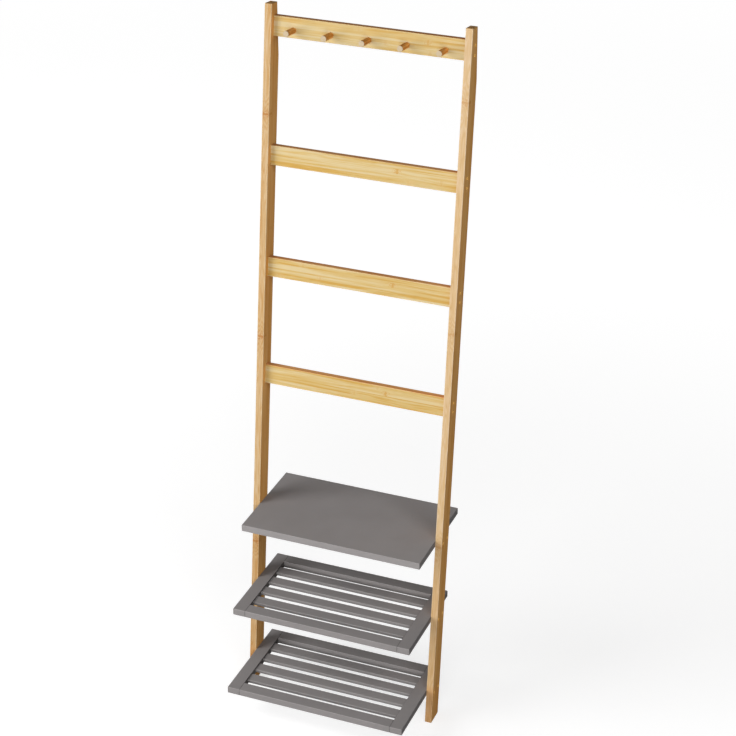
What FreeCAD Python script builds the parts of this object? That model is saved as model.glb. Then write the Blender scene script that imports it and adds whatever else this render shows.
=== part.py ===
# Leaning bamboo towel ladder: two posts, a rail with pegs, three rungs,
# one solid shelf and two slatted shelves, screwed together through the posts.
import FreeCAD, Part
import os
import Sketcher

doc = FreeCAD.newDocument("towel_ladder")

# Driving sizes, in millimetres and degrees
SIZES = {
    # Posts: lean, spacing, section, and the rear bevel that lies flat on a wall; all bamboo has rounded edges
    "lean_angle": 7,
    "inner_width": 400,
    "post_width": 15,
    "post_depth": 40,
    "post_top_rise": 24.5,
    "wall_bevel_length": 107.5,
    "edge_radius": 0.8,
    # Rungs and hook rail: section, and spacing along the posts from top edge to top edge
    "rung_height": 41,
    "rung_thickness": 15,
    "lower_rung_rise": 315.5,
    "rung_pitch": 236,
    "hook_rail_pitch": 262,
    # Pegs: how far they stand out, the tenon that holds them, and their place from the rail's end and top edge
    "peg_diameter": 12,
    "peg_reach": 37,
    "peg_tenon_diameter": 8,
    "peg_tenon_length": 10,
    "peg_margin": 42,
    "peg_drop": 25.5,
    "peg_end_radius": 0.8,
    # Shelves: overhang is measured forward from the posts' front face at the shelf's top
    "shelf_depth": 231,
    "shelf_thickness": 15,
    "board_chamfer": 0.8,
    "bottom_shelf_height": 78,
    "shelf_pitch": 176,
    "top_shelf_overhang": 92.5,
    "middle_shelf_overhang": 127.5,
    "bottom_shelf_overhang": 147.5,
    # Slatted frames: end rails run front to back, cross rails run between them
    "end_rail_width": 27.5,
    "cross_rail_width": 27,
    "slat_width": 24,
    "slat_thickness": 7.5,
    "slat_recess": 3.5,
    "slat_tenon": 5,
    # Dowels in the frames' butt joints
    "dowel_diameter": 6,
    "dowel_edge": 6.5,
    "dowel_depth": 12,
    # Countersunk screws: edge distances are from the rung's edges and the posts' faces
    "screw_diameter": 4,
    "screw_head_diameter": 7.5,
    "screw_head_sink": 0.3,
    "screw_tip_length": 4,
    "screw_stop": 2.5,
    "screw_recess_length": 4.2,
    "screw_recess_width": 1,
    "screw_recess_depth": 1.6,
    "rung_screw_edge": 10.5,
    "shelf_screw_edge": 7.7,
    # Room left round whatever sits in a hole or mortise
    "fit_clearance": 0.1,
}
PEG_COUNT = 5
SLAT_COUNT = 4
COUNTERSINK_ANGLE = 90
FULL_TURN = 360

sheet = doc.addObject("Spreadsheet::Sheet", "dims")
for row, (alias, size) in enumerate(SIZES.items(), 1):
    sheet.set(f"A{row}", alias)
    sheet.set(f"B{row}", str(size))
    sheet.setAlias(f"B{row}", alias)
doc.recompute()

# Derived sizes, as expressions of the sheet
SIN = "sin(dims.lean_angle)"
COS = "cos(dims.lean_angle)"
TAN = "tan(dims.lean_angle)"
HALF_WIDTH = "(dims.inner_width / 2)"
OUTER_FACE = f"({HALF_WIDTH} + dims.post_width)"

BOTTOM_HEIGHT = "dims.bottom_shelf_height"
MIDDLE_HEIGHT = f"({BOTTOM_HEIGHT} + dims.shelf_pitch)"
TOP_HEIGHT = f"({MIDDLE_HEIGHT} + dims.shelf_pitch)"

LOWER_RUNG_TOP = f"({TOP_HEIGHT} / {COS} + dims.lower_rung_rise)"
MIDDLE_RUNG_TOP = f"({LOWER_RUNG_TOP} + dims.rung_pitch)"
UPPER_RUNG_TOP = f"({MIDDLE_RUNG_TOP} + dims.rung_pitch)"
HOOK_RAIL_TOP = f"({UPPER_RUNG_TOP} + dims.hook_rail_pitch)"
POST_LENGTH = f"({HOOK_RAIL_TOP} + dims.post_top_rise)"
RAIL_TOPS = {
    "hook_rail": HOOK_RAIL_TOP,
    "upper_rung": UPPER_RUNG_TOP,
    "middle_rung": MIDDLE_RUNG_TOP,
    "lower_rung": LOWER_RUNG_TOP,
}
SHELVES = {
    "top_shelf": (TOP_HEIGHT, "dims.top_shelf_overhang"),
    "middle_shelf": (MIDDLE_HEIGHT, "dims.middle_shelf_overhang"),
    "bottom_shelf": (BOTTOM_HEIGHT, "dims.bottom_shelf_overhang"),
}

# The foot's front edge is set so that the wall face and the bottom shelf's front edge lie alike about Y = 0
BEVEL_START = f"({POST_LENGTH} - dims.wall_bevel_length)"
WALL_REACH = f"({BEVEL_START} * {SIN} + dims.post_depth * {COS})"
FRONT_REACH = f"({BOTTOM_HEIGHT} * {TAN} - dims.bottom_shelf_overhang)"
FOOT_Y = f"(-({WALL_REACH} + {FRONT_REACH}) / 2)"

PEG_PITCH = f"((dims.inner_width - 2 * dims.peg_margin) / {PEG_COUNT - 1})"
RUNG_FRONT = "((dims.post_depth - dims.rung_thickness) / 2)"
RUNG_SCREW_SPACING = "(dims.rung_height - 2 * dims.rung_screw_edge)"
LEVEL_POST_DEPTH = f"(dims.post_depth / {COS})"
SHELF_SCREW_SPACING = f"({LEVEL_POST_DEPTH} - 2 * dims.shelf_screw_edge)"

HOLE_RADIUS = "(dims.screw_diameter / 2 + dims.fit_clearance)"
SCREW_GRIP = "(dims.end_rail_width - dims.slat_tenon - dims.screw_stop)"
PILOT_DEPTH = f"({SCREW_GRIP} + dims.fit_clearance)"

INNER_FACE = f"({HALF_WIDTH} - dims.end_rail_width)"
SLATS_ROOM = "(dims.shelf_depth - 2 * dims.cross_rail_width)"
SLAT_GAP = f"(({SLATS_ROOM} - {SLAT_COUNT} * dims.slat_width) / {SLAT_COUNT + 1})"
SLAT_PITCH = f"(dims.slat_width + {SLAT_GAP})"
SLAT_BOTTOM = "(dims.slat_recess + dims.slat_thickness)"
BACK_RAIL_FRONT = "(dims.shelf_depth - dims.cross_rail_width)"
MID_THICKNESS = "(dims.shelf_thickness / 2)"


def value(expression):
    """The present value of an expression of the sheet."""
    return float(sheet.evalExpression(expression))


def datum(body, role):
    """One of the body's own origin planes or axes."""
    return next(feature for feature in body.Origin.OriginFeatures if feature.Role == role)


def new_body(label):
    body = doc.addObject("PartDesign::Body", label)
    body.Label = label
    return body


def new_sketch(body, name, plane, offset="0"):
    """An empty sketch on an origin plane of the body, moved along the plane's normal."""
    sketch = body.newObject("Sketcher::SketchObject", name)
    sketch.AttachmentSupport = [(datum(body, plane), "")]
    sketch.MapMode = "FlatFace"
    sketch.setExpression("AttachmentOffset.Base.z", offset)
    return sketch


def pin_point(sketch, geometry, position, across, up):
    """Bind a point of the sketch to two expressions, measured from the sketch's origin."""
    for kind, expression in (("DistanceX", across), ("DistanceY", up)):
        rule = Sketcher.Constraint(kind, -1, 1, geometry, position, value(expression))
        number = sketch.addConstraint(rule)
        sketch.setExpression(f"Constraints[{number}]", expression)


def outline(body, name, plane, points, offset="0"):
    """A closed outline of straight lines through points given as pairs of expressions."""
    sketch = new_sketch(body, name, plane, offset)
    corners = [FreeCAD.Vector(value(across), value(up), 0) for across, up in points]
    count = len(corners)
    for index in range(count):
        sketch.addGeometry(Part.LineSegment(corners[index], corners[(index + 1) % count]))
    for index in range(count):
        sketch.addConstraint(Sketcher.Constraint("Coincident", index, 2, (index + 1) % count, 1))
    for index, (across, up) in enumerate(points):
        pin_point(sketch, index, 1, across, up)
    return sketch


def rectangle(body, name, plane, low, high, offset="0"):
    """A rectangle between two corners given as pairs of expressions."""
    points = [low, (high[0], low[1]), high, (low[0], high[1])]
    return outline(body, name, plane, points, offset)


def circles(body, name, plane, centres, radius, offset="0"):
    """Circles of one radius about centres given as pairs of expressions."""
    sketch = new_sketch(body, name, plane, offset)
    normal = FreeCAD.Vector(0, 0, 1)
    for index, (across, up) in enumerate(centres):
        centre = FreeCAD.Vector(value(across), value(up), 0)
        sketch.addGeometry(Part.Circle(centre, normal, value(radius)))
        pin_point(sketch, index, 3, across, up)
        number = sketch.addConstraint(Sketcher.Constraint("Radius", index, value(radius)))
        sketch.setExpression(f"Constraints[{number}]", radius)
    return sketch


def pad(body, sketch, length):
    feature = body.newObject("PartDesign::Pad", "pad")
    feature.Profile = sketch
    feature.setExpression("Length", length)
    doc.recompute()
    return feature


def pocket(body, sketch, depth, along_normal=False):
    """Cut a sketch into the body, against its plane's normal unless told otherwise."""
    before = body.Shape.Volume
    feature = body.newObject("PartDesign::Pocket", "pocket")
    feature.Profile = sketch
    feature.Reversed = along_normal
    feature.setExpression("Length", depth)
    doc.recompute()
    if feature.Shape.Volume >= before:
        raise RuntimeError(f"{body.Label}: {sketch.Label} cuts nothing")
    return feature


def turn(body, sketch, axis):
    """Turn a half profile about one of the body's own axes, as on a lathe."""
    feature = body.newObject("PartDesign::Revolution", "turned")
    feature.Profile = sketch
    feature.ReferenceAxis = (datum(body, axis), [""])
    feature.Angle = FULL_TURN
    doc.recompute()
    return feature


def dress_edges(body, feature, kind, measure, size, chosen):
    """Fillet or chamfer the edges that the chooser picks, or all of them."""
    dressing = body.newObject(f"PartDesign::{kind}", "dressed_edges")
    edges = feature.Shape.Edges
    picked = [f"Edge{number}" for number, edge in enumerate(edges, 1) if chosen is None or chosen(edge)]
    dressing.Base = (feature, picked)
    dressing.setExpression(measure, size)
    doc.recompute()


def ease_edges(body, feature, radius, chosen=None):
    """Round the edges of a bamboo piece."""
    dress_edges(body, feature, "Fillet", "Radius", radius, chosen)


def break_edges(body, feature, chosen=None):
    """Take the sharp edges off a painted board."""
    dress_edges(body, feature, "Chamfer", "Size", "dims.board_chamfer", chosen)


def runs_across(edge):
    """True for the long edges of a piece that lies along X."""
    return edge.BoundBox.XLength > max(edge.BoundBox.YLength, edge.BoundBox.ZLength)


def mirrored(body, originals):
    """Repeat features on the other side of the ladder's middle plane."""
    feature = body.newObject("PartDesign::Mirrored", "other_side")
    feature.Originals = originals
    feature.MirrorPlane = (datum(body, "YZ_Plane"), [""])
    body.Tip = feature
    doc.recompute()


def mirror_piece(source, label):
    """A handed copy of a whole piece on the other side of the ladder."""
    piece = doc.addObject("Part::Mirroring", label)
    piece.Label = label
    piece.Source = source
    piece.Normal = FreeCAD.Vector(1, 0, 0)
    piece.Base = FreeCAD.Vector(0, 0, 0)
    return piece


def set_leaning(piece, along, inward, across="0"):
    """Place a piece along the leaning posts from the foot, and inward from their front face."""
    tilt = FreeCAD.Rotation(FreeCAD.Vector(-1, 0, 0), value("dims.lean_angle"))
    piece.Placement = FreeCAD.Placement(FreeCAD.Vector(0, 0, 0), tilt)
    piece.setExpression("Placement.Rotation.Angle", "dims.lean_angle")
    piece.setExpression("Placement.Base.x", across)
    piece.setExpression("Placement.Base.y", f"{FOOT_Y} + {along} * {SIN} + {inward} * {COS}")
    piece.setExpression("Placement.Base.z", f"{along} * {COS} - {inward} * {SIN}")


def set_level(piece, backward, height):
    """Place a level piece behind the foot's front edge and above the floor."""
    piece.setExpression("Placement.Base.y", f"{FOOT_Y} + {backward}")
    piece.setExpression("Placement.Base.z", height)


def post_screw_places():
    """Screw centres on a post's side, as depth behind its front face and length from its foot."""
    middle = "(dims.post_depth / 2)"
    places = []
    for top in RAIL_TOPS.values():
        places.append((middle, f"{top} - dims.rung_screw_edge"))
        places.append((middle, f"{top} - dims.rung_height + dims.rung_screw_edge"))
    for height, _ in SHELVES.values():
        centre = f"(({height} - {MID_THICKNESS} + {middle} * {SIN}) / {COS})"
        for side in ("+", "-"):
            inward = f"{middle} {side} {SHELF_SCREW_SPACING} / 2 * {COS}"
            along = f"{centre} {side} {SHELF_SCREW_SPACING} / 2 * {SIN}"
            places.append((inward, along))
    return places


def make_right_post():
    """A bar with a level foot, a square top, a wall bevel and countersunk screw holes from outside."""
    body = new_body("right_post")
    side = [
        ("0", "0"),
        ("dims.post_depth", f"dims.post_depth * {TAN}"),
        ("dims.post_depth", BEVEL_START),
        (f"dims.post_depth - dims.wall_bevel_length * {TAN}", POST_LENGTH),
        ("0", POST_LENGTH),
    ]
    bar = pad(body, outline(body, "side_view", "YZ_Plane", side), "dims.post_width")
    bevel_foot = FreeCAD.Vector(value("dims.post_width / 2"), value("dims.post_depth"), value(BEVEL_START))

    def not_blunt(edge):
        return not edge.CenterOfMass.isEqual(bevel_foot, value("dims.edge_radius"))

    ease_edges(body, bar, "dims.edge_radius", not_blunt)
    before = body.Shape.Volume
    marks = circles(body, "screw_marks", "YZ_Plane", post_screw_places(), HOLE_RADIUS, "dims.post_width")
    doc.recompute()
    holes = body.newObject("PartDesign::Hole", "screw_holes")
    holes.Profile = marks
    doc.recompute()
    holes.DepthType = "ThroughAll"
    holes.HoleCutType = "Countersink"
    holes.HoleCutCustomValues = True
    holes.HoleCutCountersinkAngle = COUNTERSINK_ANGLE
    holes.setExpression("Diameter", f"2 * {HOLE_RADIUS}")
    head_room = "dims.screw_head_sink + dims.fit_clearance"
    holes.setExpression("HoleCutDiameter", f"dims.screw_head_diameter + 2 * ({head_room})")
    doc.recompute()
    if body.Shape.Volume >= before:
        raise RuntimeError("the screw holes cut nothing")
    set_leaning(body, "0", "0", HALF_WIDTH)
    return body


def make_rail(label, top):
    """A plain bar between the posts, centred on their depth, with screw holes in its ends."""
    body = new_body(label)
    section = rectangle(
        body, "section", "YZ_Plane", ("0", "-dims.rung_height"), ("dims.rung_thickness", "0"), f"-{HALF_WIDTH}"
    )
    bar = pad(body, section, "dims.inner_width")
    ease_edges(body, bar, "dims.edge_radius", runs_across)
    middle = "dims.rung_thickness / 2"
    places = [(middle, "-dims.rung_screw_edge"), (middle, "-dims.rung_height + dims.rung_screw_edge")]
    holes = pocket(body, circles(body, "screw_marks", "YZ_Plane", places, HOLE_RADIUS, HALF_WIDTH), PILOT_DEPTH)
    mirrored(body, [holes])
    set_leaning(body, top, RUNG_FRONT)
    return body


def peg_across(number):
    """Where a peg stands along the rail, counted from the left."""
    return f"({number - (PEG_COUNT + 1) / 2} * {PEG_PITCH})"


def make_hook_rail():
    """The top rail, with a row of blind holes for the pegs."""
    body = make_rail("hook_rail", HOOK_RAIL_TOP)
    places = [(peg_across(number), "-dims.peg_drop") for number in range(1, PEG_COUNT + 1)]
    radius = "dims.peg_tenon_diameter / 2 + dims.fit_clearance"
    seats = circles(body, "peg_seats", "XZ_Plane", places, radius)
    body.Tip = pocket(body, seats, "dims.peg_tenon_length + dims.fit_clearance")
    return body


def make_peg(number):
    """A turned peg, square to the rail, with a narrower tenon behind and its front end eased."""
    body = new_body(f"hook_peg_{number}")
    profile = [
        ("0", "dims.peg_tenon_length"),
        ("dims.peg_tenon_diameter / 2", "dims.peg_tenon_length"),
        ("dims.peg_tenon_diameter / 2", "0"),
        ("dims.peg_diameter / 2", "0"),
        ("dims.peg_diameter / 2", "-dims.peg_reach"),
        ("0", "-dims.peg_reach"),
    ]
    rod = turn(body, outline(body, "profile", "XY_Plane", profile), "Y_Axis")
    front = rod.Shape.BoundBox.YMin

    def at_front(edge):
        return edge.BoundBox.YMax < front + value("dims.peg_end_radius")

    ease_edges(body, rod, "dims.peg_end_radius", at_front)
    set_leaning(body, f"({HOOK_RAIL_TOP} - dims.peg_drop)", RUNG_FRONT, peg_across(number))
    return body


def make_screws(label, pattern_axis, spacing):
    """Countersunk screws in pairs on both sides, driven inwards from the posts' outer faces."""
    body = new_body(label)
    body.AllowCompound = True
    head = f"({OUTER_FACE} - dims.screw_head_sink)"
    shank = "dims.screw_diameter / 2"
    tip = f"({HALF_WIDTH} - {SCREW_GRIP})"
    head_height = "(dims.screw_head_diameter - dims.screw_diameter) / 2"
    profile = [
        (head, "0"),
        (head, "dims.screw_head_diameter / 2"),
        (f"{head} - {head_height}", shank),
        (f"{tip} + dims.screw_tip_length", shank),
        (tip, "0"),
    ]
    turned = turn(body, outline(body, "profile", "XY_Plane", profile), "X_Axis")
    arm = "dims.screw_recess_length / 2"
    side = "dims.screw_recess_width / 2"
    cross = [
        (arm, f"-{side}"), (arm, side), (side, side), (side, arm),
        (f"-{side}", arm), (f"-{side}", side), (f"-{arm}", side), (f"-{arm}", f"-{side}"),
        (f"-{side}", f"-{side}"), (f"-{side}", f"-{arm}"), (side, f"-{arm}"), (side, f"-{side}"),
    ]
    recess = pocket(body, outline(body, "recess", "YZ_Plane", cross, head), "dims.screw_recess_depth")
    copies = body.newObject("PartDesign::MultiTransform", "copies")
    copies.Originals = [turned, recess]
    pair = body.newObject("PartDesign::LinearPattern", "pair")
    pair.Direction = (datum(body, pattern_axis), [""])
    pair.Occurrences = 2
    pair.setExpression("Length", spacing)
    sides = body.newObject("PartDesign::Mirrored", "sides")
    sides.MirrorPlane = (datum(body, "YZ_Plane"), [""])
    copies.Transformations = [pair, sides]
    body.Tip = copies
    return body


def make_rail_screws(rail, top):
    body = make_screws(f"{rail}_screws", "Z_Axis", RUNG_SCREW_SPACING)
    lower_screw = f"({top} - dims.rung_height + dims.rung_screw_edge)"
    set_leaning(body, lower_screw, "(dims.post_depth / 2)")
    return body


def make_shelf_screws(shelf, height):
    body = make_screws(f"{shelf}_screws", "Y_Axis", SHELF_SCREW_SPACING)
    level = f"({height} - {MID_THICKNESS})"
    set_level(body, f"({level} * {TAN} + dims.shelf_screw_edge)", level)
    return body


def set_on_shelf(piece, shelf):
    """Place a piece whose origin is the middle of its shelf's upper front edge."""
    height, overhang = SHELVES[shelf]
    set_level(piece, f"({height} * {TAN} - {overhang})", height)


def drill_shelf_side(body, shelf):
    """Screw holes in a shelf's right edge, level with the middle of the board and in line with the post."""
    overhang = SHELVES[shelf][1]
    first = f"({overhang} - {MID_THICKNESS} * {TAN} + dims.shelf_screw_edge)"
    places = [(first, f"-{MID_THICKNESS}"), (f"{first} + {SHELF_SCREW_SPACING}", f"-{MID_THICKNESS}")]
    return pocket(body, circles(body, "screw_marks", "YZ_Plane", places, HOLE_RADIUS, HALF_WIDTH), PILOT_DEPTH)


def make_top_shelf():
    """A solid board that fills the width between the posts."""
    body = new_body("top_shelf")
    plan = rectangle(
        body, "plan", "XY_Plane", (f"-{HALF_WIDTH}", "0"), (HALF_WIDTH, "dims.shelf_depth"), "-dims.shelf_thickness"
    )
    break_edges(body, pad(body, plan, "dims.shelf_thickness"))
    mirrored(body, [drill_shelf_side(body, "top_shelf")])
    set_on_shelf(body, "top_shelf")
    return body


def dowel_places(front):
    """Two dowel centres in a cross rail's end, behind the rail's front face."""
    return [
        (f"{front} + dims.dowel_edge", f"-{MID_THICKNESS}"),
        (f"{front} + dims.cross_rail_width - dims.dowel_edge", f"-{MID_THICKNESS}"),
    ]


def make_right_end_rail(shelf):
    """The frame's right side: dowel holes and slat mortises inside, screw holes outside."""
    body = new_body(f"{shelf}_right_end_rail")
    plan = rectangle(
        body, "plan", "XY_Plane", (INNER_FACE, "0"), (HALF_WIDTH, "dims.shelf_depth"), "-dims.shelf_thickness"
    )
    break_edges(body, pad(body, plan, "dims.shelf_thickness"))
    drill_shelf_side(body, shelf)
    places = dowel_places("0") + dowel_places(BACK_RAIL_FRONT)
    radius = "dims.dowel_diameter / 2 + dims.fit_clearance"
    marks = circles(body, "dowel_marks", "YZ_Plane", places, radius, INNER_FACE)
    pocket(body, marks, "dims.dowel_depth + dims.fit_clearance", along_normal=True)
    slat_front = f"(dims.cross_rail_width + {SLAT_GAP})"
    low = (f"{slat_front} - dims.fit_clearance", f"-{SLAT_BOTTOM} - dims.fit_clearance")
    high = (f"{slat_front} + dims.slat_width + dims.fit_clearance", "-dims.slat_recess + dims.fit_clearance")
    mouth = rectangle(body, "mortise", "YZ_Plane", low, high, INNER_FACE)
    mortise = pocket(body, mouth, "dims.slat_tenon + dims.fit_clearance", along_normal=True)
    row = body.newObject("PartDesign::LinearPattern", "mortises")
    row.Originals = [mortise]
    row.Direction = (datum(body, "Y_Axis"), [""])
    row.Occurrences = SLAT_COUNT
    row.setExpression("Length", f"{SLAT_COUNT - 1} * {SLAT_PITCH}")
    body.Tip = row
    set_on_shelf(body, shelf)
    return body


def make_cross_rail(shelf, name, front):
    """A rail between the end rails, with dowel holes in both ends."""
    body = new_body(f"{shelf}_{name}")
    section = rectangle(
        body, "section", "YZ_Plane", (front, "-dims.shelf_thickness"), (f"{front} + dims.cross_rail_width", "0"),
        f"-{INNER_FACE}"
    )
    break_edges(body, pad(body, section, f"2 * {INNER_FACE}"), runs_across)
    radius = "dims.dowel_diameter / 2 + dims.fit_clearance"
    marks = circles(body, "dowel_marks", "YZ_Plane", dowel_places(front), radius, INNER_FACE)
    mirrored(body, [pocket(body, marks, "dims.dowel_depth + dims.fit_clearance")])
    set_on_shelf(body, shelf)
    return body


def make_slat(shelf, number):
    """A thin slat below the frame's upper face, with both ends housed in the end rails."""
    body = new_body(f"{shelf}_slat_{number}")
    front = f"(dims.cross_rail_width + {SLAT_GAP} + {number - 1} * {SLAT_PITCH})"
    reach = f"({INNER_FACE} + dims.slat_tenon)"
    section = rectangle(
        body, "section", "YZ_Plane", (front, f"-{SLAT_BOTTOM}"), (f"{front} + dims.slat_width", "-dims.slat_recess"),
        f"-{reach}"
    )
    break_edges(body, pad(body, section, f"2 * {reach}"), runs_across)
    set_on_shelf(body, shelf)
    return body


def make_dowels(shelf):
    """The dowels of one frame, two in each butt joint."""
    body = new_body(f"{shelf}_dowels")
    body.AllowCompound = True
    places = dowel_places("0") + dowel_places(BACK_RAIL_FRONT)
    start = f"{INNER_FACE} - dims.dowel_depth"
    discs = circles(body, "section", "YZ_Plane", places, "dims.dowel_diameter / 2", start)
    mirrored(body, [pad(body, discs, "2 * dims.dowel_depth")])
    set_on_shelf(body, shelf)
    return body


def make_slatted_shelf(shelf):
    """Every piece of one slatted frame."""
    right_end = make_right_end_rail(shelf)
    pieces = [right_end, mirror_piece(right_end, f"{shelf}_left_end_rail")]
    pieces.append(make_cross_rail(shelf, "front_rail", "0"))
    pieces.append(make_cross_rail(shelf, "back_rail", BACK_RAIL_FRONT))
    pieces += [make_slat(shelf, number) for number in range(1, SLAT_COUNT + 1)]
    pieces.append(make_dowels(shelf))
    return pieces


right_post = make_right_post()
nodes = [right_post, mirror_piece(right_post, "left_post"), make_hook_rail()]
nodes += [make_peg(number) for number in range(1, PEG_COUNT + 1)]
nodes += [make_rail(name, top) for name, top in RAIL_TOPS.items() if name != "hook_rail"]
nodes.append(make_top_shelf())
nodes += make_slatted_shelf("middle_shelf")
nodes += make_slatted_shelf("bottom_shelf")
nodes += [make_rail_screws(name, top) for name, top in RAIL_TOPS.items()]
nodes += [make_shelf_screws(name, height) for name, (height, _) in SHELVES.items()]
doc.recompute()

for thing in doc.Objects:
    if "Invalid" in thing.State or "Error" in thing.State:
        raise RuntimeError(f"{thing.Label} failed: {thing.State}")
for node in nodes:
    if node.Shape.isNull() or not node.Shape.isValid():
        raise RuntimeError(f"{node.Label} has no valid shape")

os.makedirs("parts", exist_ok=True)
for node in nodes:
    node.Shape.exportStep(f"parts/{node.Label}.step")
    print(node.Label, len(node.Shape.Solids), round(node.Shape.Volume, 1))
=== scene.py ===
# Looks of a leaning towel ladder: bamboo posts, rungs and pegs with grey painted shelves near the floor.
import math

import bpy
from mathutils import Matrix, Vector


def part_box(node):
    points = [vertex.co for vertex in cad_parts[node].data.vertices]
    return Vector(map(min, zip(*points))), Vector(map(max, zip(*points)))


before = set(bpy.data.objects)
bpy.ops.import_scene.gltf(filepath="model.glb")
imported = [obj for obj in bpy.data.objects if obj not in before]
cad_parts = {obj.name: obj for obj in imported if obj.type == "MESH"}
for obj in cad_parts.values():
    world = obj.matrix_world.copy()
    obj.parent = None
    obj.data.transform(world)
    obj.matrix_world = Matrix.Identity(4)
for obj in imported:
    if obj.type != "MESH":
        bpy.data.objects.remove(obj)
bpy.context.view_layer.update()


# Posts: two uprights of laminated bamboo, 15 mm wide and 40 mm deep, that lean back against the wall.
# Each is glued up from three layers of strip, planed, rounded along its edges and lacquered. The foot is
# sawn level with the floor and the top square. Below the top shelf's height the fronts are tinted browner,
# and near the floor the fronts and, less, the sides browner still: painted shade under the shelves.
lean = math.radians(7)
up_the_ladder = Vector((0, math.sin(lean), math.cos(lean)))
out_to_the_front = Vector((0, -math.cos(lean), math.sin(lean)))
to_the_right = Vector((1, 0, 0))
post_width = 0.015
post_depth = 0.040
post_length = 1.5072
post_strips = 1
post_layers = 3
post_relief = 0.00006
sawn_skin = 0.0004
sawn_dulling = 0.2
lacquer_gloss = 0.015
relief_strength = 0.6
knuckle_spacing = 0.472
side_pale = (0.85, 0.515, 0.195, 1)
side_golden = (0.81, 0.440, 0.148, 1)
side_deep = (0.70, 0.340, 0.092, 1)
side_mark = (0.62, 0.280, 0.068, 1)
sawn_ground = (0.48, 0.272, 0.105, 1)
sawn_bundle = (0.205, 0.104, 0.037, 1)
# Painted shade: the fronts are tinted browner below the top shelf's height, where the shelves shade the
# posts.
shade_tint_below = 0.43
shade_tint_fade = 0.04
painted_shade_tint = (0.98, 0.92, 0.84, 1)
# Painted shade at the foot: browner below the bottom shelf, less on the sides.
foot_shade_height = 0.082
foot_shade_fade = 0.012
foot_painted_shade = (1.0, 0.87, 0.76, 1)
foot_shade_spared_at_sides = 0.6


def put(tree, kind, inputs=None, **options):
    """Add a shader node, set its options, and fill its inputs with values or with other nodes' outputs."""
    node = tree.nodes.new(kind)
    for option, value in options.items():
        setattr(node, option, value)
    for socket, value in (inputs or {}).items():
        if isinstance(value, bpy.types.NodeSocket):
            tree.links.new(value, node.inputs[socket])
        else:
            node.inputs[socket].default_value = value
    return node


def maths(tree, operation, *values):
    """One step of arithmetic on numbers."""
    return put(tree, "ShaderNodeMath", dict(enumerate(values)), operation=operation).outputs[0]


def centred(tree, value):
    """A value from 0 to 1, moved to lie about 0."""
    return maths(tree, "SUBTRACT", value, 0.5)


def vector_maths(tree, operation, *values):
    """One step of arithmetic on vectors."""
    return put(tree, "ShaderNodeVectorMath", dict(enumerate(values)), operation=operation).outputs[0]


def split(tree, vector):
    """A vector's three parts."""
    return put(tree, "ShaderNodeSeparateXYZ", {0: vector}).outputs


def fade(tree, value, start, end):
    """A soft step from 0 at start to 1 at end."""
    given = {"Value": value, "From Min": start, "From Max": end}
    return put(tree, "ShaderNodeMapRange", given, interpolation_type="SMOOTHSTEP").outputs[0]


def mixed(tree, factor, first, second, blend_type="MIX"):
    """Two colours mixed by a mask."""
    given = {0: factor, 6: first, 7: second}
    return put(tree, "ShaderNodeMix", given, data_type="RGBA", blend_type=blend_type).outputs[2]


def noise(tree, vector, scale, detail=2.0, roughness=0.5):
    """Cloudy noise about 0.5."""
    given = {"Vector": vector, "Scale": scale, "Detail": detail, "Roughness": roughness}
    return put(tree, "ShaderNodeTexNoise", given).outputs[0]


def grain_noise(tree, vector, scales, detail=2.0, roughness=0.5):
    """Noise drawn out along the grain, by its own scale on each axis."""
    return noise(tree, vector_maths(tree, "MULTIPLY", vector, scales), 1.0, detail, roughness)


def new_group(name, inputs, outputs):
    """An empty shader group with its named sockets."""
    group = bpy.data.node_groups.new(name, "ShaderNodeTree")
    for label, kind in inputs.items():
        group.interface.new_socket(label, in_out="INPUT", socket_type="NodeSocket" + kind)
    for label, kind in outputs.items():
        group.interface.new_socket(label, in_out="OUTPUT", socket_type="NodeSocket" + kind)
    return group, put(group, "NodeGroupInput").outputs, put(group, "NodeGroupOutput").inputs


def strip_place(tree, across, width, number):
    """Counts glued strips across a piece: the strip's number, and 1 at a glue line, 0 away from it."""
    glue_core = 0.0001
    glue_edge = 0.00035
    share = maths(tree, "ADD", maths(tree, "DIVIDE", across, width), 0.5)
    share = put(tree, "ShaderNodeClamp", {"Value": share, "Min": 0.001, "Max": 0.999}).outputs[0]
    strips = maths(tree, "MULTIPLY", share, number)
    off_centre = maths(tree, "ABSOLUTE", centred(tree, maths(tree, "FRACT", strips)))
    strip_width = maths(tree, "DIVIDE", width, number)
    to_glue = maths(tree, "MULTIPLY", maths(tree, "SUBTRACT", 0.5, off_centre), strip_width)
    return maths(tree, "FLOOR", strips), fade(tree, to_glue, glue_edge, glue_core)


lamination, given, result = new_group(
    "bamboo_lamination",
    {"Vector": "Vector", "Width": "Float", "Strips": "Float", "Depth": "Float", "Layers": "Float",
     "Knuckle Spacing": "Float", "Knuckle Place": "Float", "Knuckle Strip": "Float", "Seed": "Float",
     "Figure": "Float", "Pale": "Color", "Golden": "Color", "Deep": "Color", "Mark": "Color"},
    {"Color": "Color", "Roughness": "Float", "Height": "Float"})

# Each strip of each layer is cut from another place in the cane, so its grain is shifted and sways a little.
strip_scatter = (37.0, 53.0, 71.0)
sway_scales = (7.0, 25.0, 25.0)
sway_reach = 0.010
band_scales = (2.5, 100.0, 100.0)
streak_scales = (7.0, 300.0, 300.0)
fibre_scales = (40.0, 1800.0, 1800.0)
along, across, through = split(lamination, given["Vector"])
strip, strip_glue = strip_place(lamination, across, given["Width"], given["Strips"])
layer, layer_glue = strip_place(lamination, through, given["Depth"], given["Layers"])
strip_key = put(lamination, "ShaderNodeCombineXYZ", {0: strip, 1: layer, 2: given["Seed"]}).outputs[0]
luck = put(lamination, "ShaderNodeTexWhiteNoise", {"Vector": strip_key}, noise_dimensions="3D").outputs
shifted = vector_maths(lamination, "MULTIPLY_ADD", luck["Color"], strip_scatter, given["Vector"])
swayed = grain_noise(lamination, shifted, sway_scales, 1.0)
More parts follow.
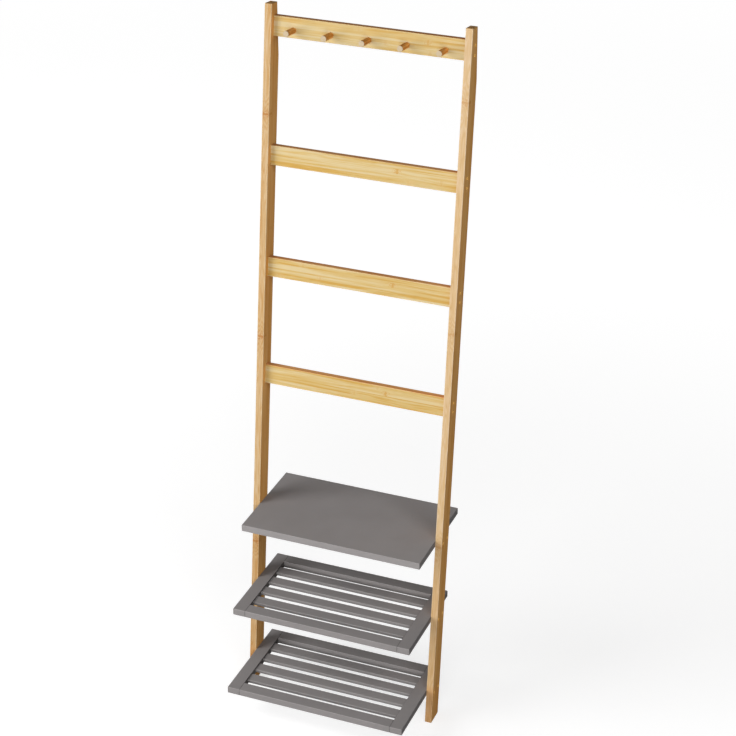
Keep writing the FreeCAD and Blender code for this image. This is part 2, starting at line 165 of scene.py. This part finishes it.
sway = maths(lamination, "MULTIPLY", centred(lamination, swayed), sway_reach)
sway = put(lamination, "ShaderNodeCombineXYZ", {1: sway, 2: sway}).outputs[0]
shifted = vector_maths(lamination, "ADD", shifted, sway)
bands = grain_noise(lamination, shifted, band_scales, 2.0)
streak = grain_noise(lamination, shifted, streak_scales, 3.0, 0.6)
fibre = grain_noise(lamination, shifted, fibre_scales, 2.0)

# Knuckles come at one spacing: at the given place on one strip, and anywhere and fainter on the others.
ragged_scale = 420.0
ragged_reach = 0.007
ring_edge = 0.0034
ring_core = 0.0010
ring_share = 0.8
zone_edge = 0.014
zone_core = 0.004
swirl_edge = 0.045
speckle_scale = 430.0
speckle_softness = (0.46, 0.60)
speckle_share = 0.7
fainter_elsewhere = 0.6
from_marked = maths(lamination, "ABSOLUTE", maths(lamination, "SUBTRACT", strip, given["Knuckle Strip"]))
other_strip = maths(lamination, "MINIMUM", maths(lamination, "ADD", from_marked, layer), 1.0)
strip_shift = maths(lamination, "MULTIPLY", luck["Value"], given["Knuckle Spacing"])
strip_shift = maths(lamination, "MULTIPLY", strip_shift, other_strip)
knuckle_at = maths(lamination, "ADD", strip_shift, given["Knuckle Place"])
past_knuckle = maths(lamination, "SUBTRACT", along, knuckle_at)
half_spacing = maths(lamination, "MULTIPLY", given["Knuckle Spacing"], 0.5)
half_back = maths(lamination, "MULTIPLY", given["Knuckle Spacing"], -0.5)
from_knuckle = maths(lamination, "WRAP", past_knuckle, half_spacing, half_back)
ragged = centred(lamination, noise(lamination, given["Vector"], ragged_scale, 2.0))
from_ragged = maths(lamination, "MULTIPLY_ADD", ragged, ragged_reach, from_knuckle)
ring = fade(lamination, maths(lamination, "ABSOLUTE", from_ragged), ring_edge, ring_core)
off_knuckle = maths(lamination, "ABSOLUTE", from_knuckle)
zone = fade(lamination, off_knuckle, zone_edge, zone_core)
swirl = fade(lamination, off_knuckle, swirl_edge, 0.0)
speckle = fade(lamination, noise(lamination, given["Vector"], speckle_scale, 1.0), *speckle_softness)
spots = maths(lamination, "MULTIPLY", maths(lamination, "MULTIPLY", zone, speckle), speckle_share)
mark = maths(lamination, "MAXIMUM", maths(lamination, "MULTIPLY", ring, ring_share), spots)
plainness = maths(lamination, "MULTIPLY_ADD", other_strip, -fainter_elsewhere, 1.0)
mark = maths(lamination, "MULTIPLY", mark, plainness)

# The tone runs in straight streaks, or in wavy rings where the figure shows, from pale to golden to deep.
contour_scales = (9.0, 100.0, 100.0)
contour_swirl = 0.35
contour_lines = 45.0
straight_bands = 2.4
straight_streaks = 1.7
wavy_bands = 0.8
wavy_rings = 0.22
wavy_swirl = 0.12
strip_contrast = 0.2
fibre_contrast = 0.3
zone_paleness = 0.3
pale_to_golden = (0.10, 0.50)
golden_to_deep = (0.50, 0.90)
contours = grain_noise(lamination, shifted, contour_scales, 1.0)
contours = maths(lamination, "MULTIPLY_ADD", swirl, contour_swirl, contours)
rings = maths(lamination, "SINE", maths(lamination, "MULTIPLY", contours, contour_lines))
bands_off = centred(lamination, bands)
straight = maths(lamination, "MULTIPLY", bands_off, straight_bands)
straight = maths(lamination, "MULTIPLY_ADD", centred(lamination, streak), straight_streaks, straight)
wavy = maths(lamination, "MULTIPLY", bands_off, wavy_bands)
wavy = maths(lamination, "MULTIPLY_ADD", rings, wavy_rings, wavy)
wavy = maths(lamination, "MULTIPLY_ADD", swirl, wavy_swirl, wavy)
figured = put(lamination, "ShaderNodeMix", {0: given["Figure"], 2: straight, 3: wavy}).outputs[0]
tone = maths(lamination, "MULTIPLY_ADD", centred(lamination, luck["Value"]), strip_contrast, 0.5)
tone = maths(lamination, "ADD", tone, figured)
tone = maths(lamination, "MULTIPLY_ADD", centred(lamination, fibre), fibre_contrast, tone)
wood = mixed(lamination, fade(lamination, tone, *pale_to_golden), given["Pale"], given["Golden"])
wood = mixed(lamination, fade(lamination, tone, *golden_to_deep), wood, given["Deep"])
wood = mixed(lamination, maths(lamination, "MULTIPLY", zone, zone_paleness), wood, given["Pale"])
wood = mixed(lamination, mark, wood, given["Mark"])

# Glue lines and butt joints are darker, and the rounded corners are rubbed paler and smoother.
joint_offset = 0.203
joint_edge = 0.0010
joint_core = 0.0003
seam_share = 0.35
corner_edge = 0.0020
corner_core = 0.0007
corner_share = 0.35
past_joint = maths(lamination, "SUBTRACT", past_knuckle, joint_offset)
from_joint = maths(lamination, "WRAP", past_joint, half_spacing, half_back)
joint = fade(lamination, maths(lamination, "ABSOLUTE", from_joint), joint_edge, joint_core)
glue = maths(lamination, "MAXIMUM", strip_glue, layer_glue)
seam = maths(lamination, "MULTIPLY", maths(lamination, "MAXIMUM", glue, joint), seam_share)
wood = mixed(lamination, seam, wood, given["Mark"])
half_width = maths(lamination, "MULTIPLY", given["Width"], 0.5)
half_depth = maths(lamination, "MULTIPLY", given["Depth"], 0.5)
to_side = maths(lamination, "SUBTRACT", half_width, maths(lamination, "ABSOLUTE", across))
to_face = maths(lamination, "SUBTRACT", half_depth, maths(lamination, "ABSOLUTE", through))
corner = fade(lamination, maths(lamination, "MAXIMUM", to_side, to_face), corner_edge, corner_core)
wood = mixed(lamination, maths(lamination, "MULTIPLY", corner, corner_share), wood, given["Pale"])
lamination.links.new(wood, result["Color"])

# The lacquer is dullest over dark streaks and marks, and the fibres and knuckles stand up through it.
lacquer_roughness = 0.56
corner_polish = 0.08
streak_dulling = 0.16
mark_dulling = 0.12
ring_relief = 0.8
dull = maths(lamination, "MULTIPLY_ADD", corner, -corner_polish, lacquer_roughness)
dull = maths(lamination, "MULTIPLY_ADD", streak, streak_dulling, dull)
dull = maths(lamination, "MULTIPLY_ADD", mark, mark_dulling, dull)
lamination.links.new(dull, result["Roughness"])
relief = maths(lamination, "MULTIPLY_ADD", fibre, 0.5, maths(lamination, "MULTIPLY", streak, 0.5))
relief = maths(lamination, "MULTIPLY_ADD", ring, ring_relief, relief)
lamination.links.new(maths(lamination, "SUBTRACT", relief, seam), result["Height"])

# Across a sawn end the fibre bundles show as dark specks that crowd together in places.
bundle_scale = 1150.0
crowding_scale = 260.0
bundle_size = 0.75
bundle_softness = (-0.08, 0.12)
end_grain, given, result = new_group(
    "bamboo_end_grain",
    {"Vector": "Vector", "Ground": "Color", "Bundle": "Color"},
    {"Color": "Color", "Height": "Float"})
flat_cut = vector_maths(end_grain, "MULTIPLY", given["Vector"], (0.0, 1.0, 1.0))
cells = put(end_grain, "ShaderNodeTexVoronoi", {"Vector": flat_cut, "Scale": bundle_scale})
crowding = noise(end_grain, flat_cut, crowding_scale, 2.0)
bundle_edge = maths(end_grain, "MULTIPLY", crowding, bundle_size)
bundle = maths(end_grain, "SUBTRACT", bundle_edge, cells.outputs["Distance"])
bundle = fade(end_grain, bundle, *bundle_softness)
end_grain.links.new(mixed(end_grain, bundle, given["Ground"], given["Bundle"]), result["Color"])
end_grain.links.new(maths(end_grain, "SUBTRACT", 1.0, bundle), result["Height"])


def ladder_place(tree):
    """Object coordinates, the same on every piece: X to the right, Y to the wall, Z up from the floor."""
    return put(tree, "ShaderNodeTexCoord").outputs["Object"]


def piece_vector(tree, centre, along, across):
    """Object coordinates centred on a piece and turned with it: X along its grain, Y across, Z through."""
    turn = Matrix((along, across, along.cross(across))).transposed().to_euler()
    given = {"Vector": ladder_place(tree), "Location": centre, "Rotation": turn}
    return put(tree, "ShaderNodeMapping", given, vector_type="TEXTURE").outputs[0]


def new_material(name):
    """An empty node material, with its tree and its Principled shader."""
    material = bpy.data.materials.new(name)
    material.use_nodes = True
    return material, material.node_tree, material.node_tree.nodes["Principled BSDF"]


def dress(node, material):
    """Puts a material on a part of the frame."""
    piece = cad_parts[node]
    piece.data.materials.clear()
    piece.data.materials.append(material)


def finish_surface(tree, shader, colour, roughness, height, depth):
    """Feeds the shader from the finished colour, roughness and relief; depth is the relief's in metres."""
    tree.links.new(colour, shader.inputs["Base Color"])
    tree.links.new(roughness, shader.inputs["Roughness"])
    bump = put(tree, "ShaderNodeBump", {"Height": height, "Distance": depth, "Strength": relief_strength})
    tree.links.new(bump.outputs[0], shader.inputs["Normal"])


def post_bamboo(node, knuckle_height, seed, pale_front, golden_front, deep_front, mark_front):
    """Lacquered bamboo: pale strip edges to the front and back, browner strip faces at the sides."""
    material, tree, shader = new_material("bamboo_" + node)
    low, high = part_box(node)
    foot = Vector(((low.x + high.x) / 2, low.y, 0))
    centre = foot + up_the_ladder * post_length / 2 - out_to_the_front * post_depth / 2
    vector = piece_vector(tree, centre, up_the_ladder, to_the_right)
    along = split(tree, vector)[0]
    from_middle = maths(tree, "ABSOLUTE", split(tree, vector)[2])
    side = fade(tree, from_middle, post_depth / 2 - sawn_skin, post_depth / 2 - 2 * sawn_skin)
    front = maths(tree, "SUBTRACT", 1.0, side)
    wood = put(tree, "ShaderNodeGroup",
               {"Vector": vector, "Width": post_width, "Strips": post_strips, "Depth": post_depth,
                "Layers": post_layers, "Knuckle Spacing": knuckle_spacing,
                "Knuckle Place": knuckle_height - post_length / 2, "Seed": seed, "Figure": front,
                "Pale": mixed(tree, side, pale_front, side_pale),
                "Golden": mixed(tree, side, golden_front, side_golden),
                "Deep": mixed(tree, side, deep_front, side_deep),
                "Mark": mixed(tree, side, mark_front, side_mark)},
               node_tree=lamination)
    cut = put(tree, "ShaderNodeGroup", {"Vector": vector, "Ground": sawn_ground, "Bundle": sawn_bundle},
              node_tree=end_grain)
    level = split(tree, ladder_place(tree))[2]
    top = fade(tree, along, post_length / 2 - 2 * sawn_skin, post_length / 2 - sawn_skin)
    sawn = maths(tree, "MAXIMUM", top, fade(tree, level, 2 * sawn_skin, sawn_skin))
    # Painted shade: the fronts browner below the top shelf's height.
    turning = shade_tint_below - post_length / 2
    lower = fade(tree, along, turning + shade_tint_fade, turning - shade_tint_fade)
    lower = maths(tree, "MULTIPLY", lower, front)
    strips = mixed(tree, lower, wood.outputs["Color"], painted_shade_tint, "MULTIPLY")
    # Painted shade: browner still near the floor, less on the sides.
    foot_shade = fade(tree, level, foot_shade_height + foot_shade_fade, foot_shade_height - foot_shade_fade)
    foot_shade = maths(tree, "MULTIPLY", foot_shade, maths(tree, "MULTIPLY_ADD", side, -foot_shade_spared_at_sides, 1.0))
    strips = mixed(tree, foot_shade, strips, foot_painted_shade, "MULTIPLY")
    colour = mixed(tree, sawn, strips, cut.outputs["Color"])
    roughness = maths(tree, "MULTIPLY_ADD", sawn, sawn_dulling, wood.outputs["Roughness"])
    finish_surface(tree, shader, colour, roughness, wood.outputs["Height"], post_relief)
    shader.inputs["Specular IOR Level"].default_value = lacquer_gloss
    dress(node, material)


post_bamboo("left_post", knuckle_height=0.342, seed=3.0,
            pale_front=(0.64, 0.534, 0.346, 1), golden_front=(0.58, 0.436, 0.234, 1),
            deep_front=(0.484, 0.303, 0.121, 1), mark_front=(0.387, 0.151, 0.035, 1))
post_bamboo("right_post", knuckle_height=0.420, seed=8.0,
            pale_front=(0.68, 0.557, 0.396, 1), golden_front=(0.626, 0.475, 0.285, 1),
            deep_front=(0.553, 0.383, 0.193, 1), mark_front=(0.49, 0.274, 0.11, 1))


# Hook rail and rungs: four flat bamboo bars, 41 mm tall and 15 mm thick, screwed between the posts.
# Each is glued up from three thin layers of wide strips, so the faces are golden with long streaks,
# while the top and bottom edges show the dark layers; rounded and lacquered like the posts.
rung_height = 0.041
rung_thickness = 0.015
rung_strips = 4
rung_layers = 3
rung_relief = 0.00005
blotched_strip = 1
palest_face = (0.645, 0.575, 0.356)
face_and_edge = {
    "Pale": ((0.616, 0.559, 0.356), (0.95, 0.60, 0.26)),
    "Golden": ((0.563, 0.443, 0.198), (0.93, 0.48, 0.18)),
    "Deep": ((0.497, 0.318, 0.0855), (0.77, 0.32, 0.10)),
    "Mark": ((0.51, 0.277, 0.063), (0.51, 0.19, 0.057))}


def rung_bamboo(node, knuckle_place, seed, edge_painted_shade, paler=0.0):
    """Lacquered bamboo: golden faces, dark brown edges above and below, with painted shade that darkens the
    edges.
    """
    material, tree, shader = new_material("bamboo_" + node)
    low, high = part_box(node)
    vector = piece_vector(tree, (low + high) / 2, to_the_right, -up_the_ladder)
    from_middle = maths(tree, "ABSOLUTE", split(tree, vector)[1])
    edge = fade(tree, from_middle, rung_height / 2 - 2 * sawn_skin, rung_height / 2 - sawn_skin)
    glued_up = {"Vector": vector, "Width": rung_height, "Strips": rung_strips, "Depth": rung_thickness,
                "Layers": rung_layers, "Knuckle Spacing": knuckle_spacing, "Knuckle Place": knuckle_place,
                "Knuckle Strip": blotched_strip, "Seed": seed}
    for label, (face_colour, edge_colour) in face_and_edge.items():
        face_colour = Vector(face_colour).lerp(Vector(palest_face), paler)
        edge_colour = Vector(edge_colour) * edge_painted_shade
        glued_up[label] = mixed(tree, edge, (*face_colour, 1), (*edge_colour, 1))
    wood = put(tree, "ShaderNodeGroup", glued_up, node_tree=lamination).outputs
    finish_surface(tree, shader, wood["Color"], wood["Roughness"], wood["Height"], rung_relief)
    shader.inputs["Specular IOR Level"].default_value = lacquer_gloss
    dress(node, material)


# Painted shade on the edges: darkest on the hook rail, least on the lowest rung.
rung_bamboo("hook_rail", 0.122, 86.0, edge_painted_shade=0.60, paler=0.10)
rung_bamboo("upper_rung", 0.072, 60.0, edge_painted_shade=0.74)
rung_bamboo("middle_rung", 0.074, 112.0, edge_painted_shade=0.87)
rung_bamboo("lower_rung", 0.070, 55.0, edge_painted_shade=0.97)


# Pegs: five round bamboo pegs, 12 mm thick, glued square into the hook rail.
# Turned from brown strip, with the fibres along them and a pale sawn end with its edge rounded.
peg_reach = 0.037
peg_drop = 0.0255
peg_width = 0.012
peg_strips = 2
peg_knuckle = 0.1
peg_relief = 0.00005
rail_drop = 0.0245
rail_recess = 0.0125


def peg_bamboo(node, seed):
    """Brown lacquered bamboo with a pale sawn end."""
    material, tree, shader = new_material("bamboo_" + node)
    low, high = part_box(node)
    foot = Vector(((low.x + high.x) / 2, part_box("left_post")[0].y, 0))
    axis_height = up_the_ladder * (post_length - rail_drop - peg_drop)
    tip = foot + axis_height + out_to_the_front * (peg_reach - rail_recess)
    vector = piece_vector(tree, tip, out_to_the_front, to_the_right)
    end = fade(tree, split(tree, vector)[0], -2 * sawn_skin, -sawn_skin)
    wood = put(tree, "ShaderNodeGroup",
               {"Vector": vector, "Width": peg_width, "Strips": peg_strips, "Depth": peg_width,
                "Layers": 1.0, "Knuckle Spacing": knuckle_spacing, "Knuckle Place": peg_knuckle, "Seed": seed,
                "Pale": (0.84, 0.445, 0.135, 1), "Golden": (0.765, 0.355, 0.088, 1),
                "Deep": (0.61, 0.25, 0.05, 1), "Mark": (0.42, 0.14, 0.03, 1)},
               node_tree=lamination)
    cut = put(tree, "ShaderNodeGroup",
              {"Vector": vector, "Ground": (0.515, 0.418, 0.288, 1), "Bundle": (0.42, 0.317, 0.198, 1)},
              node_tree=end_grain)
    colour = mixed(tree, end, wood.outputs["Color"], cut.outputs["Color"])
    roughness = maths(tree, "MULTIPLY_ADD", end, sawn_dulling, wood.outputs["Roughness"])
    finish_surface(tree, shader, colour, roughness, wood.outputs["Height"], peg_relief)
    shader.inputs["Specular IOR Level"].default_value = lacquer_gloss
    dress(node, material)


for number in range(1, 6):
    peg_bamboo(f"hook_peg_{number}", seed=60.0 + number)


# Top shelf: one solid board, 400 by 231 by 15 mm, held by two screws through each post.
# Sanded, sprayed with warm grey satin paint, and with its edges lightly broken so that the paint holds.
# Its ends are darker with painted shade.
board_grey = (0.280, 0.264, 0.261, 1)
board_shade = (0.266, 0.250, 0.247, 1)
board_grain = 0.3
grey_edge = (0.300, 0.284, 0.281, 1)
# Dark grey for the cracks at butt joints, and for the painted shade on the end rails' inner faces.
grey_crack_and_shade = (0.106, 0.098, 0.095, 1)
# Painted shade on the ends of the shelves.
painted_end_shade = (0.82, 0.82, 0.82, 1)
shelf_reach = 0.200
paint_relief = 0.00003
paint_gloss = 0.015
to_the_wall = Vector((0, 1, 0))

paint_film, given, result = new_group(
    "sprayed_paint",
    {"Vector": "Vector", "Half Size": "Vector", "Grain": "Float", "Butted": "Float",
     "Paint": "Color", "Shade": "Color", "Edge": "Color", "Crack": "Color"},
    {"Color": "Color", "Roughness": "Float", "Height": "Float"})
cloud_scale = 14.0
cloud_softness = (0.3, 0.7)
peel_scale = 700.0
grain_scales = (12.0, 900.0, 900.0)
rubbed_edge = 0.0016
rubbed_core = 0.0006
rubbed_everywhere = 0.2
crack_edge = 0.0012
crack_core = 0.0005
crack_depth = 2.0
paint_roughness = 0.56
cloud_dulling = 0.10
peel_dulling = 0.08
rubbed_polish = 0.06
clouds = noise(paint_film, given["Vector"], cloud_scale, 3.0)
peel = noise(paint_film, given["Vector"], peel_scale, 2.0)
grain = grain_noise(paint_film, given["Vector"], grain_scales, 3.0)
from_centre = vector_maths(paint_film, "ABSOLUTE", given["Vector"])
inside = vector_maths(paint_film, "SUBTRACT", given["Half Size"], from_centre)
first, second, third = split(paint_film, inside)
further_in = maths(paint_film, "MAXIMUM", first, second)
nearer = maths(paint_film, "MINIMUM", first, second)
to_edge = maths(paint_film, "MAXIMUM", nearer, maths(paint_film, "MINIMUM", further_in, third))
rubbed = fade(paint_film, to_edge, rubbed_edge, rubbed_core)
rubbed = maths(paint_film, "MULTIPLY", rubbed, maths(paint_film, "ADD", clouds, rubbed_everywhere))
crack = maths(paint_film, "MULTIPLY", fade(paint_film, first, crack_edge, crack_core), given["Butted"])
paint = mixed(paint_film, fade(paint_film, clouds, *cloud_softness), given["Shade"], given["Paint"])
paint = mixed(paint_film, rubbed, paint, given["Edge"])
paint = mixed(paint_film, crack, paint, given["Crack"])
paint_film.links.new(paint, result["Color"])
sheen = maths(paint_film, "MULTIPLY_ADD", clouds, cloud_dulling, paint_roughness)
sheen = maths(paint_film, "MULTIPLY_ADD", peel, peel_dulling, sheen)
sheen = maths(paint_film, "MULTIPLY_ADD", rubbed, -rubbed_polish, sheen)
paint_film.links.new(sheen, result["Roughness"])
ripple = maths(paint_film, "MULTIPLY_ADD", centred(paint_film, grain), given["Grain"], peel)
paint_film.links.new(maths(paint_film, "MULTIPLY_ADD", crack, -crack_depth, ripple), result["Height"])


def outward_place(tree):
    """Distance to the left or right of the ladder's middle."""
    return maths(tree, "ABSOLUTE", split(tree, ladder_place(tree))[0])


def grey_paint(node, along, grain, coat, shade, butted=0.0, shaded_inner_face=0.0):
    """Warm grey satin paint over wood, with a fine sprayed surface, edges where it lies thinner, and painted
    shade on the ends and any inner face.
    """
    material, tree, shader = new_material("grey_paint_" + node)
    low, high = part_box(node)
    half = (high - low) / 2
    if along == to_the_right:
        across = to_the_wall
    else:
        across = -to_the_right
        half = Vector((half.y, half.x, half.z))
    vector = piece_vector(tree, (low + high) / 2, along, across)
    film = put(tree, "ShaderNodeGroup",
               {"Vector": vector, "Half Size": half, "Grain": grain, "Butted": butted,
                "Paint": coat, "Shade": shade, "Edge": grey_edge, "Crack": grey_crack_and_shade},
               node_tree=paint_film)
    outward = outward_place(tree)
    # Painted shade: the shelf ends darker.
    end = fade(tree, outward, shelf_reach - 2 * sawn_skin, shelf_reach - sawn_skin)
    colour = mixed(tree, end, film.outputs["Color"], painted_end_shade, "MULTIPLY")
    # Painted shade: an end rail's inner face, seen between the slats, made dark.
    if shaded_inner_face:
        inner_shade = fade(tree, outward, shaded_inner_face + 2 * sawn_skin, shaded_inner_face + sawn_skin)
        colour = mixed(tree, inner_shade, colour, grey_crack_and_shade)
    finish_surface(tree, shader, colour, film.outputs["Roughness"], film.outputs["Height"], paint_relief)
    shader.inputs["Specular IOR Level"].default_value = paint_gloss
    dress(node, material)


grey_paint("top_shelf", to_the_right, board_grain, board_grey, board_shade)


# Slatted shelves: two frames of end rails and cross rails, butted and dowelled, 400 by 231 by 15 mm.
# Four slats sit in mortises in the end rails, a little below the frame. All have the same grey paint, darker
# than the board's as painted shade, and the end rails' inner faces are darkened with painted shade.
# Painted shade: the frames' grey and its mottle are darker than the board's.
shaded_frame_grey = (0.254, 0.238, 0.235, 1)
shaded_frame_mottle = (0.240, 0.225, 0.222, 1)
frame_grain = 0.8
# Painted shade on the end rails' inner faces.
shaded_end_rail_face = 0.1725
crack_share = 0.6
for shelf in ("middle_shelf", "bottom_shelf"):
    for side in ("left", "right"):
        grey_paint(f"{shelf}_{side}_end_rail", to_the_wall, frame_grain, shaded_frame_grey, shaded_frame_mottle,
                   shaded_inner_face=shaded_end_rail_face)
    for side in ("front", "back"):
        grey_paint(f"{shelf}_{side}_rail", to_the_right, frame_grain, shaded_frame_grey, shaded_frame_mottle,
                   butted=crack_share)
    for number in range(1, 5):
        grey_paint(f"{shelf}_slat_{number}", to_the_right, frame_grain, shaded_frame_grey, shaded_frame_mottle)


# Dowels: plain wooden pins glued into the butt joints of the slatted frames, hidden inside them.
# Turned from pale wood with the grain along the pin, left bare for the glue.
shelf_depth = 0.231
shelf_thickness = 0.015
dowel_relief = 0.00005
dowel_strips = 9
clear_length = 2.0
knuckle_cut_off = 0.9
bare_gloss = 0.25
for shelf in ("middle_shelf", "bottom_shelf"):
    material, tree, shader = new_material("dowel_wood_" + shelf)
    low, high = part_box(shelf + "_dowels")
    vector = piece_vector(tree, (low + high) / 2, to_the_right, to_the_wall)
    wood = put(tree, "ShaderNodeGroup",
               {"Vector": vector, "Width": shelf_depth, "Strips": dowel_strips,
                "Depth": shelf_thickness, "Layers": 1.0,
                "Knuckle Spacing": clear_length, "Knuckle Place": knuckle_cut_off, "Seed": 77.0,
                "Pale": (0.76, 0.60, 0.38, 1), "Golden": (0.68, 0.49, 0.27, 1),
                "Deep": (0.58, 0.38, 0.19, 1), "Mark": (0.45, 0.27, 0.12, 1)},
               node_tree=lamination).outputs
    finish_surface(tree, shader, wood["Color"], wood["Roughness"], wood["Height"], dowel_relief)
    shader.inputs["Specular IOR Level"].default_value = bare_gloss
    dress(shelf + "_dowels", material)


# Screws: countersunk steel screws through the posts into the rungs and shelves, two at each end.
# Plated yellow zinc, with painted shade round the rim and in the cross recess, their heads just below the
# wood.
head_face = 0.2147
head_radius = 0.00375
bright_radius = 0.0030
recess_lip = 0.0002
zinc_bright = (1.0, 0.62, 0.20, 1)
zinc_tarnished = (0.90, 0.53, 0.16, 1)
zinc_sheen = (0.95, 0.68, 0.28, 1)
# Painted shade round each head's rim and in its cross recess.
rim_painted_shade = (0.10, 0.042, 0.015, 1)
recess_painted_shade = (0.40, 0.22, 0.07, 1)
tarnish_scale = 900.0
tarnish_softness = (0.3, 0.7)
turning_scales = (4000.0, 600.0, 600.0)
turning_relief = 0.00002
zinc_roughness = 0.24
tarnish_dulling = 0.2
rim_and_recess_dulling = 0.3


def zinc_plating(node):
    """Yellow zinc, with painted shade round the rim of each head and in its cross recess, both also duller.
    """
    material, tree, shader = new_material("yellow_zinc_" + node)
    low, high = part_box(node)
    place = ladder_place(tree)
    recess = fade(tree, outward_place(tree), head_face - recess_lip, head_face - 3 * recess_lip)
    flat = vector_maths(tree, "MULTIPLY", place, (0.0, 1.0, 1.0))
    from_heads = []
    for y, z in ((low.y + head_radius, low.z + head_radius), (high.y - head_radius, high.z - head_radius)):
        from_head = put(tree, "ShaderNodeVectorMath", {0: flat, 1: (0, y, z)}, operation="DISTANCE")
        from_heads.append(from_head.outputs["Value"])
    from_axis = maths(tree, "MINIMUM", *from_heads)
    rim = fade(tree, from_axis, bright_radius, bright_radius + 2 * recess_lip)
    tarnish = noise(tree, place, tarnish_scale, 3.0)
    turning = grain_noise(tree, place, turning_scales, 2.0)
    plating = mixed(tree, fade(tree, tarnish, *tarnish_softness), zinc_bright, zinc_tarnished)
    plating = mixed(tree, rim, plating, rim_painted_shade)
    plating = mixed(tree, recess, plating, recess_painted_shade)
    wear = maths(tree, "MULTIPLY_ADD", tarnish, tarnish_dulling, zinc_roughness)
    wear = maths(tree, "MULTIPLY_ADD", maths(tree, "MAXIMUM", recess, rim), rim_and_recess_dulling, wear)
    finish_surface(tree, shader, plating, wear, turning, turning_relief)
    shader.inputs["Metallic"].default_value = 0.9
    shader.inputs["Specular Tint"].default_value = zinc_sheen
    dress(node, material)


for held in ("hook_rail", "upper_rung", "middle_rung", "lower_rung",
             "top_shelf", "middle_shelf", "bottom_shelf"):
    zinc_plating(held + "_screws")


# Floor: a plain pale floor under the ladder, which carries on as the white background.
# To the camera it is white apart from the shadow that it keeps; to the ladder it is pale and dull.
floor_size = 60.0
floor_pale = (0.36, 0.36, 0.36, 1)
floor_shaded = (0.43, 0.43, 0.43, 1)
white_near = 0.715
white_gained = 0.16
white_distance = (0.6, 2.6)
white_gained_far = 0.125
white_distance_far = (2.0, 8.0)


def looked_at(tree):
    """1 for what the camera sees, straight or by way of metal or glass, and 0 for light on its way."""
    seen = put(tree, "ShaderNodeLightPath").outputs
    mirrored = maths(tree, "MAXIMUM", seen["Is Glossy Ray"], seen["Is Transmission Ray"])
    return maths(tree, "MAXIMUM", seen["Is Camera Ray"], mirrored)


bpy.ops.object.select_all(action="DESELECT")
bpy.ops.mesh.primitive_plane_add(size=floor_size, location=(0, 0, 0))
floor = bpy.context.object
floor.name = "floor"
pale, tree, shader = new_material("pale_floor")
shader.inputs["Base Color"].default_value = floor_pale
shader.inputs["Roughness"].default_value = 0.9
shader.inputs["Specular IOR Level"].default_value = 0.0
from_ladder = put(tree, "ShaderNodeVectorMath", {0: ladder_place(tree)}, operation="LENGTH").outputs["Value"]
whiteness = maths(tree, "MULTIPLY_ADD", fade(tree, from_ladder, *white_distance), white_gained, white_near)
far_off = fade(tree, from_ladder, *white_distance_far)
whiteness = maths(tree, "MULTIPLY_ADD", far_off, white_gained_far, whiteness)
glow = put(tree, "ShaderNodeEmission", {"Color": (1, 1, 1, 1), "Strength": whiteness}).outputs[0]
shaded = put(tree, "ShaderNodeBsdfDiffuse", {"Color": floor_shaded}).outputs[0]
white = put(tree, "ShaderNodeAddShader", {0: glow, 1: shaded}).outputs[0]
shown = put(tree, "ShaderNodeMixShader", {0: looked_at(tree), 1: shader.outputs[0], 2: white}).outputs[0]
tree.links.new(shown, tree.nodes["Material Output"].inputs["Surface"])
floor.data.materials.append(pale)


# Light: a large, tall, soft lamp at the front left, two smaller ones in front and at the right that soften
# its shadows, and a weak one behind at the left. The pale room round them shows white behind the ladder
# and lights it only a little.
lamp_aim = Vector((0, 0, 0.75))
lamp_distance = 3.6
room_light = 0.05
for name, azimuth, height, width, tall, power in (
        ("key_lamp", -51, 18, 2.2, 3.6, 148.0),
        ("front_lamp", 16, 10, 1.4, 1.5, 60.0),
        ("side_lamp", 51, 38, 1.8, 1.8, 38.0),
        ("back_lamp", -130, 30, 1.4, 1.4, 9.0)):
    azimuth = math.radians(azimuth)
    height = math.radians(height)
    level = math.cos(height)
    way = Vector((math.sin(azimuth) * level, -math.cos(azimuth) * level, math.sin(height)))
    bpy.ops.object.light_add(type="AREA", location=lamp_aim + way * lamp_distance,
                             rotation=way.to_track_quat("Z", "Y").to_euler())
    lamp = bpy.context.object
    lamp.name = name
    lamp.visible_camera = False
    lamp.data.shape = "RECTANGLE"
    lamp.data.size = width
    lamp.data.size_y = tall
    lamp.data.energy = power

room = bpy.data.worlds.new("pale_room")
bpy.context.scene.world = room
room.use_nodes = True
tree = room.node_tree
tree.nodes["Background"].inputs["Color"].default_value = (1, 1, 1, 1)
strength = maths(tree, "MULTIPLY_ADD", looked_at(tree), 1 - room_light, room_light)
tree.links.new(strength, tree.nodes["Background"].inputs["Strength"])
bpy.context.scene.view_settings.view_transform = "Standard"


# Camera: a long lens in front of the ladder, a little to its right and above it, as the ladder is shown.
# Its place, turn and lens are the ones at which the ladder's straight edges fall where they are shown.
camera_place = (1.4166, -3.3464, 2.7494)
camera_right = Vector((0.9273679, 0.3741220, -0.0046313))
camera_up = Vector((-0.1727260, 0.4390652, 0.8816958))
camera_back = Vector((0.3318952, -0.8168565, 0.4717956))
camera_turn = Matrix((camera_right, camera_up, camera_back)).transposed()
picture_width = 736
bpy.ops.object.camera_add(location=camera_place, rotation=camera_turn.to_euler())
camera = bpy.context.object
camera.data.sensor_width = 36.0
camera.data.lens = 100.17
camera.data.shift_x = 0.5 / picture_width
bpy.context.scene.camera = camera
